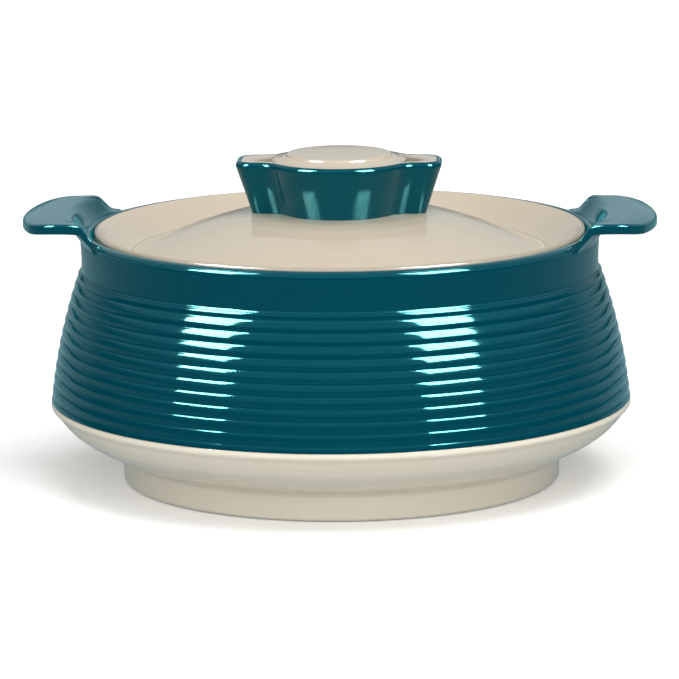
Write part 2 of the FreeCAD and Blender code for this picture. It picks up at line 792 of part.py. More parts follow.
def main():
    parts = [
        make_outer_shell(),
        make_base_shell(),
        make_base_plug(),
        make_inner_liner(),
        make_body_insulation(),
        make_lid_cover(),
        make_lid_liner(),
        make_lid_plug(),
        make_lid_insulation(),
        make_knob_body(),
        make_knob_cap(),
        make_knob_screws(),
    ]
    doc.recompute()
    faults = report_faults()
    if faults:
        raise RuntimeError(f"These objects did not build: {faults}")
    os.makedirs("parts", exist_ok=True)
    for part in parts:
        shape = part.Shape
        if shape.isNull() or not shape.isValid():
            raise RuntimeError(f"{part.Label} is not a valid solid")
        print(part.Label, len(shape.Solids), "solids", len(shape.Faces), "faces", round(shape.Volume / 1000, 2), "cm3")
        shape.exportStep(f"parts/{part.Label}.step")


main()
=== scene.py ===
"""Looks of the insulated chapati casserole: glossy ribbed pot, domed lid and bow-tie knob."""

import math

import bmesh
import bpy
from bpy.props import FloatProperty, FloatVectorProperty, IntProperty, PointerProperty
from mathutils import Euler, Matrix, Vector


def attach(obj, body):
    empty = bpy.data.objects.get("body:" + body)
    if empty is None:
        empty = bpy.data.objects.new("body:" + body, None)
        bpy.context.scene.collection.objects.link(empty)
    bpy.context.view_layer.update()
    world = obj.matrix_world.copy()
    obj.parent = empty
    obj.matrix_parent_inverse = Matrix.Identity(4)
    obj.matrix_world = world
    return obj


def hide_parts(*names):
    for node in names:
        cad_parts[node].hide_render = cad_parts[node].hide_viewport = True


bl_info = {
    "name": "Chapati Casserole",
    "version": (1, 0, 0),
    "blender": (4, 5, 0),
    "location": "View3D > Sidebar > Casserole",
    "description": "Builds a ribbed insulated casserole with ear handles, lid and knob",
    "category": "Add Mesh",
}

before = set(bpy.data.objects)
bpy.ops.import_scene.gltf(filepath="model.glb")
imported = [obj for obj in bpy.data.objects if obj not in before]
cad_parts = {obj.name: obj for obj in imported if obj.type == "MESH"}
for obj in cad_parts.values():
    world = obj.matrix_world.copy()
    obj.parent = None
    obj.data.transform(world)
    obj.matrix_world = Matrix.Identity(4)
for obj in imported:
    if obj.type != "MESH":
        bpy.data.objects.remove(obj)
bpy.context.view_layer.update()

# Metres in a millimetre: sections, plans and named sizes are in mm, and settings and meshes in metres
MM = 0.001
# Metres below which neighbouring points are welded
WELD = 2e-6
WHITE = (1, 1, 1, 1)
# A Mix node's colour sockets by number, because its other kinds share their names
MIX_FROM, MIX_TO, MIX_RESULT = 6, 7, 2

# Fineness of a section: runs in a rounded corner, degrees that one run of a bowed side turns, the fewest and
# the most runs of such a side, how far support points stand from the ends of a straight run, and the length
# below which a run is dropped
ROUND_STEPS = 7
BOW_STEP = 2.5
BOW_RUNS_LEAST, BOW_RUNS_MOST = 4, 28
SUPPORT = 0.3
SHORTEST_RUN = 1e-6

# Sizes that several sections or pieces share
SEAM_Z = 35.5
SEAM_RADIUS = 124.95
WALL_LEAN = 0.105
WALL_BOW = 0.0022
WALL_THICK = 2.6
NECK_RADIUS = 111.35
RIM_Z = 108.2
LEDGE_Z = 98
PLUG_HOLE = 9
FLOOR_UNDER, FLOOR_TOP = 4.8, 7.4
PAN_UNDER, PAN_TOP = 88, 89.4
DOME_TOP = 115.5
KNOB_TOP = 138.5

# One rib upwards from its groove, as shares of its pitch and of its depth: a cove that leans out, a small
# step, and a bead that leans back in
RIB_SHAPE = (
    (0.08, 0.03),
    (0.22, 0.32),
    (0.36, 0.62),
    (0.39, 0.8),
    (0.42, 0.97),
    (0.46, 1),
    (0.6, 0.88),
    (0.75, 0.68),
    (0.88, 0.42),
    (0.94, 0.2),
)
# The share of a rib's depth that lies inside the plain wall
RIB_SUNK = 0.35
RIB_PITCH = 5.02
# Where a rib of that pitch has its points above its groove: closest at the step and at the grooves
RIB_POINTS = (0, 0.15, 0.35, 0.7, 1.1, 1.5, 1.75, 1.85, 1.95, 2.1,
              2.2, 2.35, 2.7, 3.2, 3.7, 4.1, 4.4, 4.6, 4.8, 4.92)
# The last rib has only this many of them, because the neck cuts it off
LAST_RIB_POINTS = 10
# Heights of the points between the seam and the first groove
SEAM_POINTS = (35.5, 35.6, 35.9, 36.3, 36.8, 37.2, 37.5, 37.64, 37.74, 37.82)
# Radius outside which the wall is ribbed, and one in metres that no piece reaches
RIBBED_OUTSIDE = 112.2
UNREACHED = 1

# Ear handle in section: its flat top and underside, the radius where the flat starts, the slope and length of
# the straight sweep that carries it up, the roundings at that sweep's ends, and the slope of its tail
EAR_TOP = 116.2
EAR_UNDER = 111.8
EAR_FLAT = 117.2
EAR_SLOPE = math.radians(55)
EAR_SWEEP = 4.8
TOP_ROUND = 4.5
UNDER_ROUND = 2
WEB_ROUND = 14
TAIL_SLOPE = math.radians(15)
# The tip's droop: the radius where it starts, and how far it falls over how long a run
TIP_START = 124.2
TIP_RUN = 13.3
TIP_FALL = 2.3
# Ear handle in plan: half its width, the rounding of its corners, the bow of its tip and that bow's centre,
# and the radius of its root inside the rim
EAR_HALF = 40
EAR_CORNER = 16
TIP_BOW = 90
TIP_CENTRE = 46.5
EAR_ROOT = 108.6
# The line that the ear's rings run in to, its rounded edge, the rings' depths there and their number further
# in, and where, over what run and by what shift of its section the top sinks at the flared ends
SPINE_RADIUS = 121
SPINE_HALF = 22
EAR_EDGE = 1.3
EDGE_DEPTHS = (0, 0.05, 0.2, 0.42, 0.7, 1, 1.3)
INNER_RINGS = 20
SINK_START = 36
SINK_RUN = 15
SINK_SHIFT = 3.3

# The knob's plan at its foot and at its top: half its length, the radius of the middle, half the width of the
# wings and the rounding of their corners, then the rounding of its waist and the runs of a straight side
KNOB_FOOT_PLAN = (37.5, 25, 6.8, 4.5)
KNOB_TOP_PLAN = (44.2, 31.5, 13, 7.5)
WAIST_ROUND = 10
STRAIGHT_STEPS = 4
# The knob's rolled lip: its height, how far it draws in and its fineness
LIP_HEIGHT = 2.1
LIP_DRAW = 1.6
LIP_STEPS = 10
# How far the inlay's outline lies inside the knob's
INLAY_MARGIN = 2.2
# A ring of the inlay's swell that is wider than the outline keeps inside it, by this share of how far the
# ring's own radius falls short of this one
SWELL_SQUEEZE = 0.02
SWELL_RADIUS = 30
# Points of the swell nearer the axis than this make no ring
SWELL_CENTRE = 0.01


def linear(code):
    """An sRGB hex colour as linear RGB."""
    channels = [int(code[start:start + 2], 16) / 255 for start in (1, 3, 5)]
    return tuple(c / 12.92 if c <= 0.04045 else ((c + 0.055) / 1.055) ** 2.4 for c in channels)


def size_mm(label, default, about):
    """A length setting given in millimetres and kept in metres."""
    return FloatProperty(name=label, description=about, default=default * MM, unit="LENGTH", precision=5)


def in_mm(length):
    """A length setting in millimetres, to the micron, because settings are kept as single floats."""
    return round(length / MM, 3)


def tint(label, code, about):
    """A colour setting given as sRGB hex and kept linear."""
    return FloatVectorProperty(name=label, description=about, default=linear(code), subtype="COLOR", size=3)


class CasseroleWall(bpy.types.PropertyGroup):
    """Sizes of the ribbed wall."""

    first_rib: size_mm("First rib", 37.9, "Height of the lowest rib's groove")
    rib_pitch: size_mm("Rib pitch", RIB_PITCH, "Height of one rib")
    rib_depth: size_mm("Rib depth", 0.39, "From a rib's groove to its crest")
    rib_count: IntProperty(name="Ribs", description="How many ribs the wall has", default=11, min=1)
    segments: IntProperty(name="Segments", description="Facets round a turned piece", default=192, min=48)


class CasseroleColours(bpy.types.PropertyGroup):
    """Colours of the mouldings."""

    teal: tint("Pot", "#004251", "Colour of the pot and the knob")
    beige: tint("Lid", "#CBBEAA", "Colour of the lid and the knob's inlay")
    cream: tint("Base", "#F2EAD8", "Colour of the base moulding")
    white: tint("Pan", "#ECEAE4", "Colour of the lid's inner pan")
    steel: tint("Bowl", "#C9C8C5", "Colour of the steel bowl")
    foam: tint("Foam", "#E6D28E", "Colour of the rigid foam")


# Sections of the turned pieces


def wall_radius(z):
    """Outer radius of the plain wall at a height: it leans in from the seam, and more so higher up."""
    rise = z - SEAM_Z
    return SEAM_RADIUS - WALL_LEAN * rise - WALL_BOW * rise * rise


def bowed(start, end, radius):
    """Points strictly between start and end on an arc: a positive radius bows to the right of the way."""
    chord = math.dist(start, end)
    middle = ((start[0] + end[0]) / 2, (start[1] + end[1]) / 2)
    side = (-(end[1] - start[1]) / chord, (end[0] - start[0]) / chord)
    turn = 1 if radius > 0 else -1
    reach = math.sqrt(radius * radius - chord * chord / 4) * turn
    centre = (middle[0] + side[0] * reach, middle[1] + side[1] * reach)
    first = math.atan2(start[1] - centre[1], start[0] - centre[0])
    sweep = 2 * math.asin(chord / 2 / abs(radius)) * turn
    count = max(BOW_RUNS_LEAST, min(BOW_RUNS_MOST, int(abs(sweep) / math.radians(BOW_STEP))))
    spots = []
    for step in range(1, count):
        angle = first + sweep * step / count
        spots.append((centre[0] + abs(radius) * math.cos(angle), centre[1] + abs(radius) * math.sin(angle)))
    return spots


def along(path, distance):
    """The point of a path, given from its start, at a distance, and the number of points passed."""
    passed = 0
    for start, end in zip(path, path[1:]):
        step = math.dist(start, end)
        if distance <= step:
            share = distance / step
            return (start[0] + (end[0] - start[0]) * share, start[1] + (end[1] - start[1]) * share), passed
        distance -= step
        passed += 1
    return path[-1], passed


def section(corners):
    """A smooth section from corners: radius, height, rounding and an optional bend of the side that follows.

    A section that starts away from the axis is a closed loop, and one that starts on it ends on it.
    """
    corners = [tuple(corner) + (0,) * (4 - len(corner)) for corner in corners]
    looped = corners[0][0] > 0
    if looped:
        last, first = corners[-1], corners[0]
        corners.append(((last[0] + first[0]) / 2, (last[1] + first[1]) / 2, 0, 0))
        corners.insert(0, corners[-1])
    runs = []
    for here, following in zip(corners, corners[1:]):
        between = bowed(here[:2], following[:2], here[3]) if here[3] else []
        runs.append([here[:2]] + between + [following[:2]])
    line = [runs[0][0]]
    for index, run in enumerate(runs):
        behind = corners[index][2]
        ahead = corners[index + 1][2]
        begin, skipped = along(run, behind)
        finish, trimmed = along(run[::-1], ahead)
        if behind:
            before, corner = line[-1], run[0]
            for step in range(1, ROUND_STEPS):
                t = step / ROUND_STEPS
                pulls = ((1 - t) ** 2, 2 * t * (1 - t), t * t)
                line.append(tuple(sum(pull * spot[axis] for pull, spot in zip(pulls, (before, corner, begin)))
                                  for axis in (0, 1)))
            line.append(begin)
        line += run[1 + skipped:len(run) - 1 - trimmed]
        line.append(finish)
    return supported(line)


def supported(line):
    """The same line with points near the ends of its long straight runs, which keep them flat in shading."""
    full = [line[0]]
    for start, end in zip(line, line[1:]):
        length = math.dist(start, end)
        if length < SHORTEST_RUN:
            continue
        if length > SUPPORT * 4:
            for share in (SUPPORT / length, 1 - SUPPORT / length):
                full.append((start[0] + (end[0] - start[0]) * share, start[1] + (end[1] - start[1]) * share))
        full.append(end)
    return full


def shell_section():
    """Tapering wall, neck, rolled rim and inner ledge. The ribs are raised on the wall as it is turned."""
    ribs = bpy.context.scene.casserole_wall
    first, pitch = in_mm(ribs.first_rib), in_mm(ribs.rib_pitch)
    rises = [point * pitch / RIB_PITCH for point in RIB_POINTS]
    *whole, last = [first + rib * pitch for rib in range(ribs.rib_count)]
    heights = list(SEAM_POINTS)
    heights += [groove + rise for groove in whole for rise in rises]
    heights += [last + rise for rise in rises[:LAST_RIB_POINTS]]
    wall = [(wall_radius(z), z) for z in heights]
    outline = section([
        # A stand-in for the outside of the wall, then the neck and the rolled rim
        (111.9, 60, 0),
        (111.95, 91, 0.25),
        (NECK_RADIUS, 91.9, 0.5),
        (NECK_RADIUS, 97, 0.8),
        (111.7, 104.9, 1.4),
        (111.3, 107, 1),
        (109.9, RIM_Z, 1),
        (107.9, RIM_Z, 0.6),
        (107, 107.3, 0.6),
        # The ledge that carries the bowl's flange
        (107, LEDGE_Z, 0.25),
        (99.3, LEDGE_Z, 0.3),
        (99.3, 95.6, 0.3),
        (108.75, 95.6, 0.5),
        # Inside of the wall
        (108.75, 91.6, 0.8),
        (wall_radius(88) - WALL_THICK, 88, 1),
        (wall_radius(61.6) - WALL_THICK, 61.6, 1),
        (wall_radius(41) - WALL_THICK, 41.25, 0.2),
        # The rebate that takes the base moulding's lip
        (122.25, 41.25, 0.1),
        (122.25, SEAM_Z, 0.1),
        (SEAM_RADIUS, SEAM_Z, 0.1),
    ])
    # The wall takes the stand-in's place, from the seam's outer edge to the foot of the neck
    seam_edge, neck_foot, neck_edge = 124, 90.6, 111.3
    begin = next(place for place, (radius, z) in enumerate(outline) if z > neck_foot and radius > neck_edge)
    finish = max(place for place, (radius, z) in enumerate(outline) if z <= SEAM_Z and radius > seam_edge)
    return wall + outline[begin:finish] + [wall[0]]


BASE_SECTION = section([
    # Underside and foot ring
    (PLUG_HOLE, FLOOR_UNDER, 0.2),
    (91.9, FLOOR_UNDER, 0.4),
    (91.9, 0.4, 0.3),
    (92.3, 0, 0.3),
    (93.6, 0, 0.5),
    (94.4, 0.8, 0.6),
    (94.7, 10.6, 0.9),
    # Belly
    (96.2, 12.3, 1.1),
    (104.3, 15.7, 2),
    (111.4, 19.5, 2.5),
    (117.4, 23.7, 2.5),
    (121.6, 28.4, 1.8),
    (123.4, 31, 0.9),
    (125.2, 32.6, 0.6),
    # Seam and the lip that stands up inside the pot's wall
    (125.4, 33.6, 0.5),
    (125, 35.3, 0.15),
    (122.2, 35.4, 0.1),
    (122, 41, 0.2),
    (119.6, 41, 0.3),
    # Inside
    (119.6, 33.2, 1),
    (120.1, 29.6, 1, -51),
    (94.4, 14.6, 1),
    (91.9, 12.2, 0.6),
    (91.9, FLOOR_TOP, 0.4),
    (PLUG_HOLE, FLOOR_TOP, 0.2),
])

LID_SECTION = section([
    # Underside of the dome, the valley and the raised rim
    (0, 113.7, 0),
    (36, 113.7, 2),
    (43.3, 112.8, 2, -200),
    (81, 99.7, 2),
    (88, 96.8, 2),
    (93.4, 98, 2),
    (103.4, 104.8, 0.4),
    # Skirt
    (103.4, 98.6, 0.15),
    (105.2, 98.6, 0.3),
    (105.6, 99, 0.3),
    (105.6, 108.3, 0.6),
    # Top of the rim, the valley and the dome
    (104.9, 109, 0.6),
    (103.7, 108.9, 0.9),
    (94.6, 101.6, 2.4),
    (91, 99.2, 1.6),
    (88, 98.6, 1.6),
    (82, 101.5, 3, 200),
    (44.3, 114.6, 2.4),
    (37, DOME_TOP, 2.4),
    (0, DOME_TOP, 0),
])

BOWL_SECTION = section([
    # Outside, with a ring pressed into the floor
    (0, 20, 0),
    (70, 20, 0.6),
    (71.2, 19.7, 0.5),
    (72.4, 20, 0.6),
    (86.1, 20, 1, 10),
    (96.1, 30, 1),
    (97.6, 97, 0.5),
    # Flange on the ledge
    (98.6, LEDGE_Z, 0.4),
    (106.3, LEDGE_Z, 0.1),
    (106.3, 98.6, 0.1),
    (98.4, 98.6, 0.8),
    # Inside
    (97, 97.2, 0.8),
    (95.5, 30, 1, -9.4),
    (86.1, 20.6, 1),
    (72.4, 20.6, 0.6),
    (71.2, 20.3, 0.5),
    (70, 20.6, 0.6),
    (0, 20.6, 0),
])

PAN_SECTION = section([
    # Underside, with a ring pressed into it, and the side that drops into the bowl
    (PLUG_HOLE, PAN_UNDER, 0.15),
    (60, PAN_UNDER, 0.5),
    (61, 87.6, 0.5),
    (63, 87.6, 0.5),
    (64, PAN_UNDER, 0.5),
    (91.2, PAN_UNDER, 1, 4),
    (95.2, 92, 1),
    (95.2, 97.4, 0.7),
    # Flange inside the lid's skirt
    (97.3, 98.9, 0.7),
    (103.15, 98.9, 0.15),
    (103.15, 99.9, 0.15),
    (96.8, 99.9, 0.7),
    # Inside
    (93.8, 97.6, 0.7),
    (93.8, 92, 1, -2.6),
    (91.2, PAN_TOP, 1),
    (PLUG_HOLE, PAN_TOP, 0.2),
])

BASE_PLUG_SECTION = section([
    (0, 3.7, 0),
    (3.2, 3.7, 0.4),
    (4.2, 3.2, 0.4),
    (11.4, 3.2, 0.4),
    (12, 3.8, 0.3),
    (12, FLOOR_UNDER, 0.1),
    (PLUG_HOLE, FLOOR_UNDER, 0.1),
    (8.6, FLOOR_TOP, 0.3),
    (0, FLOOR_TOP, 0),
])

LID_PLUG_SECTION = section([
    (0, 87.5, 0),
    (2.6, 87.5, 0.3),
    (3.2, 87.2, 0.3),
    (10.5, 87.2, 0.3),
    (11, PAN_UNDER, 0.1),
    (PLUG_HOLE, PAN_UNDER, 0.1),
    (8.7, PAN_TOP, 0.2),
    (0, PAN_TOP, 0),
])

# The inlay's pad: a low swell, a step and a crowned top. It starts under the plate, so a fine groove rings it
PAD_SECTION = section([
    (0, 137, 0),
    (29, 137, 0),
    (29.1, KNOB_TOP, 0),
    (26.4, 138.75, 1),
    (23.9, 139.8, 0.5),
    (22.9, 139.86, 0.3),
    (22.5, 140.75, 0.35),
    (21.6, 141.08, 0.5, 390),
    (0.02, 141.58, 0),
    (0, 141.6, 0),
])
# Points at the start of that section that lie under the plate and make no ring
PAD_UNDERSIDE = 3


# Nodes


def add_node(tree, kind, settings=None, links=None):
    """Add a node, set its properties and inputs, and link other nodes' outputs to its inputs."""
    made = tree.nodes.new(kind)
    for key, value in (settings or {}).items():
        if isinstance(key, str) and hasattr(made, key):
            setattr(made, key, value)
        else:
            made.inputs[key].default_value = value
    for key, source in (links or {}).items():
        tree.links.new(source, made.inputs[key])
    return made


def turning_tree():
    """Geometry nodes that turn a section round the upright axis and raise ribs on its tapering wall."""
    tree = bpy.data.node_groups.new("turned moulding", "GeometryNodeTree")
    kinds = {
        "Section": "Geometry",
        "Segments": "Int",
        "First Rib": "Float",
        "Rib Pitch": "Float",
        "Rib Depth": "Float",
        "Wall Inside": "Float",
        "Ribs": "Int",
        "Finish": "Material",
    }
    for label, kind in kinds.items():
        tree.interface.new_socket(label, in_out="INPUT", socket_type="NodeSocket" + kind)
    tree.interface.new_socket("Moulding", in_out="OUTPUT", socket_type="NodeSocketGeometry")
    given = tree.nodes.new("NodeGroupInput").outputs

    def maths(operation, *values):
        """The result of one sum, whose terms are numbers or other nodes' outputs."""
        settings = {"operation": operation}
        links = {}
        for place, value in enumerate(values):
            if isinstance(value, (int, float)):
                settings[place] = value
            else:
                links[place] = value
        return add_node(tree, "ShaderNodeMath", settings, links).outputs[0]

    # A grid with a column of points for each segment, which take their radius and height from the section.
    # The half keeps rounding from putting a point in the column before its own
    size = add_node(tree, "GeometryNodeAttributeDomainSize", {"component": "MESH"}, {0: given["Section"]})
    count = size.outputs["Point Count"]
    grid = add_node(tree, "GeometryNodeMeshGrid", None,
                    {"Vertices X": maths("ADD", given["Segments"], 1), "Vertices Y": count})
    index = add_node(tree, "GeometryNodeInputIndex").outputs[0]
    ring = maths("FLOOR", maths("DIVIDE", maths("ADD", index, 0.5), count))
    spot = maths("SUBTRACT", index, maths("MULTIPLY", ring, count))
    place = add_node(tree, "GeometryNodeInputPosition").outputs[0]
    sampled = add_node(tree, "GeometryNodeSampleIndex", {"data_type": "FLOAT_VECTOR", "domain": "POINT"},
                       {"Geometry": given["Section"], "Value": place, "Index": spot})
    parts = add_node(tree, "ShaderNodeSeparateXYZ", None, {0: sampled.outputs[0]}).outputs
    radius, height = parts["X"], parts["Z"]

    # The ribs' swell by height, which the wall alone gets and which stops halfway up the last rib
    turns = maths("DIVIDE", maths("SUBTRACT", height, given["First Rib"]), given["Rib Pitch"])
    rib_shape = add_node(tree, "ShaderNodeFloatCurve", None, {"Value": maths("FRACT", turns)})
    curve = rib_shape.mapping.curves[0]
    curve.points[-1].location = (1, 0)
    for share, swell in RIB_SHAPE:
        curve.points.new(share, swell)
    rib_shape.mapping.update()
    swollen = maths("MULTIPLY", maths("SUBTRACT", rib_shape.outputs[0], RIB_SUNK), given["Rib Depth"])
    below = maths("LESS_THAN", turns, maths("ADD", given["Ribs"], -0.5))
    outside = maths("GREATER_THAN", radius, given["Wall Inside"])
    full = maths("ADD", radius, maths("MULTIPLY", swollen, maths("MULTIPLY", below, outside)))

    angle = maths("DIVIDE", maths("MULTIPLY", ring, 2 * math.pi), given["Segments"])
    at_x = maths("MULTIPLY", full, maths("COSINE", angle))
    at_y = maths("MULTIPLY", full, maths("SINE", angle))
    turned = add_node(tree, "ShaderNodeCombineXYZ", None, {"X": at_x, "Y": at_y, "Z": height})
    shaped = add_node(tree, "GeometryNodeSetPosition", None,
                      {"Geometry": grid.outputs["Mesh"], "Position": turned.outputs[0]})
    closed = add_node(tree, "GeometryNodeMergeByDistance", {"Distance": WELD},
                      {"Geometry": shaped.outputs[0]})
    smooth = add_node(tree, "GeometryNodeSetShadeSmooth", None, {"Geometry": closed.outputs[0]})
    whole = add_node(tree, "GeometryNodeRealizeInstances", None, {"Geometry": smooth.outputs[0]})
    finished = add_node(tree, "GeometryNodeSetMaterial", None,
                        {"Geometry": whole.outputs[0], "Material": given["Finish"]})
    add_node(tree, "NodeGroupOutput", None, {0: finished.outputs[0]})
    return tree


# Meshes


def plain_mesh(name, verts, faces):
    """A new mesh of points and faces, in metres."""
    mesh = bpy.data.meshes.new(name)
    mesh.from_pydata(verts, [], faces)
    return mesh


def rectangle(name, half_x, half_y, z=0):
    """A flat mesh of one face, in metres."""
    corners = [(-half_x, -half_y, z), (half_x, -half_y, z), (half_x, half_y, z), (-half_x, half_y, z)]
    return plain_mesh(name, corners, [(0, 1, 2, 3)])


def smooth_skin(name, verts, faces):
    """A closed, smoothly shaded mesh from points in mm, welded and with its faces outwards."""
    mesh = plain_mesh(name, [(x * MM, y * MM, z * MM) for x, y, z in verts], faces)
    shaped = bmesh.new()
    shaped.from_mesh(mesh)
    bmesh.ops.remove_doubles(shaped, verts=shaped.verts, dist=WELD)
    bmesh.ops.recalc_face_normals(shaped, faces=shaped.faces)
    shaped.to_mesh(mesh)
    shaped.free()
    mesh.polygons.foreach_set("use_smooth", [True] * len(mesh.polygons))
    return mesh


def linked(name, data):
    """A new object of the scene."""
    made = bpy.data.objects.new(name, data)
    bpy.context.scene.collection.objects.link(made)
    return made


def turned_mesh(name, line, finish, ribbed=False):
    """The mesh of a section turned round the axis."""
    wall = bpy.context.scene.casserole_wall
    tree = bpy.data.node_groups.get("turned moulding") or turning_tree()
    edge_mesh = bpy.data.meshes.new(name + " section")
    spots = [(radius * MM, 0, z * MM) for radius, z in line]
    edge_mesh.from_pydata(spots, [(spot, spot + 1) for spot in range(len(spots) - 1)], [])
    holder = linked(name + " section", edge_mesh)
    turning = holder.modifiers.new("turning", "NODES")
    turning.node_group = tree
    values = {
        "Segments": wall.segments,
        "First Rib": wall.first_rib,
        "Rib Pitch": wall.rib_pitch,
        "Rib Depth": wall.rib_depth,
        "Wall Inside": RIBBED_OUTSIDE * MM if ribbed else UNREACHED,
        "Ribs": wall.rib_count,
        "Finish": finish,
    }
    for item in tree.interface.items_tree:
        if item.in_out == "INPUT" and item.name in values:
            turning[item.identifier] = values[item.name]
    bpy.context.view_layer.update()
    graph = bpy.context.evaluated_depsgraph_get()
    mesh = bpy.data.meshes.new_from_object(holder.evaluated_get(graph))
    bpy.data.objects.remove(holder)
    bpy.data.meshes.remove(edge_mesh)
    mesh.name = name
    mesh.materials.clear()
    mesh.materials.append(finish)
    mesh.polygons.foreach_set("material_index", [0] * len(mesh.polygons))
    return mesh


def finish_piece(name, mesh, body, node):
    """Make a finished mesh a piece of the casserole, in the place of a CAD node."""
    piece = linked(name, mesh)
    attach(piece, body)
    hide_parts(node)


def turned_piece(name, line, finish, body, node):
    """Turn a section and make it a piece of the casserole."""
    finish_piece(name, turned_mesh(name, line, finish), body, node)


# Materials


def new_finish(name):
    """A new material, its nodes, its shader and the coordinates of the piece that it is on."""
    made = bpy.data.materials.new(name)
    made.use_nodes = True
    tree = made.node_tree
    place = add_node(tree, "ShaderNodeTexCoord").outputs["Object"]
    return made, tree, tree.nodes["Principled BSDF"], place


def shaded(colour, factor):
    """A colour made darker or brighter, with its alpha."""
    return tuple(min(1, channel * factor) for channel in colour) + (1,)


def glossy_polypropylene(name, colour, rough, drift, shine=(1, 1, 1), glow=0):
    """Injection-moulded polypropylene: an even colour, a mirror-like skin never quite flat, fine scuffs."""
    made, tree, shader, place = new_finish(name)
    # Pigment drifts over some 40 mm, far too little to read as a stain
    pigment = add_node(tree, "ShaderNodeTexNoise", {"Scale": 25, "Detail": 3}, {"Vector": place})
    ends = {"data_type": "RGBA", MIX_FROM: shaded(colour, 1 - drift), MIX_TO: shaded(colour, 1 + drift)}
    blend = add_node(tree, "ShaderNodeMix", ends, {0: pigment.outputs["Fac"]})
    tree.links.new(blend.outputs[MIX_RESULT], shader.inputs["Base Color"])
    # Handling leaves 0.6 mm scuffs that dull the shine in places
    scuffs = add_node(tree, "ShaderNodeTexNoise", {"Scale": 1600, "Detail": 2}, {"Vector": place})
    patches = add_node(tree, "ShaderNodeTexNoise", {"Scale": 60, "Detail": 4}, {"Vector": place})
    both = add_node(tree, "ShaderNodeMath", {"operation": "MULTIPLY"},
                    {0: scuffs.outputs["Fac"], 1: patches.outputs["Fac"]})
    dulling = {"From Min": 0.15, "From Max": 0.4, "To Min": rough, "To Max": rough * 1.7}
    dulled = add_node(tree, "ShaderNodeMapRange", dulling, {"Value": both.outputs[0]})
    tree.links.new(dulled.outputs[0], shader.inputs["Roughness"])
    # The skin sinks a few hundredths of a millimetre over 15 mm where it cooled, and bends the reflections
    sink = add_node(tree, "ShaderNodeTexNoise", {"Scale": 65, "Detail": 1}, {"Vector": place})
    skin = add_node(tree, "ShaderNodeBump", {"Strength": 0.5, "Distance": 0.00008},
                    {"Height": sink.outputs["Fac"]})
    tree.links.new(skin.outputs[0], shader.inputs["Normal"])
    shader.inputs["IOR"].default_value = 1.49
    shader.inputs["Specular Tint"].default_value = shine + (1,)
    # A faint teal sheen stands in for light that scatters in the dyed skin and leaves it where it turns away
    shader.inputs["Sheen Weight"].default_value = glow
    shader.inputs["Sheen Roughness"].default_value = 0.35
    shader.inputs["Sheen Tint"].default_value = (0, 0.75, 0.95, 1)
    return made


def drawn_steel(name, colour):
    """Deep-drawn stainless steel: fine polishing rings round the bowl under a satin shine."""
    made, tree, shader, place = new_finish(name)
    split = add_node(tree, "ShaderNodeSeparateXYZ", None, {0: place}).outputs
    flat = add_node(tree, "ShaderNodeCombineXYZ", None, {"X": split["X"], "Y": split["Y"]})
    reach = add_node(tree, "ShaderNodeVectorMath", {"operation": "LENGTH"}, {0: flat.outputs[0]})
    rings = add_node(tree, "ShaderNodeCombineXYZ", None, {"X": reach.outputs["Value"], "Z": split["Z"]})
    # 0.3 mm polishing rings
    grain = add_node(tree, "ShaderNodeTexNoise", {"Scale": 3300, "Detail": 3}, {"Vector": rings.outputs[0]})
    skin = add_node(tree, "ShaderNodeBump", {"Strength": 0.25, "Distance": 0.00003},
                    {"Height": grain.outputs["Fac"]})
    tree.links.new(skin.outputs[0], shader.inputs["Normal"])
    rough = add_node(tree, "ShaderNodeMapRange", {"To Min": 0.2, "To Max": 0.34},
                     {"Value": grain.outputs["Fac"]})
    tree.links.new(rough.outputs[0], shader.inputs["Roughness"])
    shader.inputs["Base Color"].default_value = shaded(colour, 1)
    shader.inputs["Metallic"].default_value = 1
    return made


def rigid_foam(name, colour):
    """Foamed polyurethane: pale yellow, with closed cells of about 1.5 mm whose hollow middles get painted
    shade.
    """
    made, tree, shader, place = new_finish(name)
    cells = add_node(tree, "ShaderNodeTexVoronoi", {"Scale": 650}, {"Vector": place})
    # Each cell is painted up to 18% darker towards its middle, where the bump sinks it: painted shade in the
    # pore's hollow
    ends = {"data_type": "RGBA", MIX_FROM: shaded(colour, 0.82), MIX_TO: shaded(colour, 1)}
    pore_shade = add_node(tree, "ShaderNodeMix", ends, {0: cells.outputs["Distance"]})
    tree.links.new(pore_shade.outputs[MIX_RESULT], shader.inputs["Base Color"])
    pores = add_node(tree, "ShaderNodeBump", {"Strength": 0.6, "Distance": 0.0004},
                     {"Height": cells.outputs["Distance"]})
    tree.links.new(pores.outputs[0], shader.inputs["Normal"])
    shader.inputs["Roughness"].default_value = 0.9
    return made


def plated_screw(name):
    """Zinc-plated steel: a cool, slightly cloudy metal."""
    made, tree, shader, place = new_finish(name)
    cloud = add_node(tree, "ShaderNodeTexNoise", {"Scale": 900, "Detail": 3}, {"Vector": place})
    rough = add_node(tree, "ShaderNodeMapRange", {"To Min": 0.2, "To Max": 0.45},
                     {"Value": cloud.outputs["Fac"]})
    tree.links.new(rough.outputs[0], shader.inputs["Roughness"])
    shader.inputs["Base Color"].default_value = shaded(linear("#B9BCC0"), 1)
    shader.inputs["Metallic"].default_value = 1
    return made


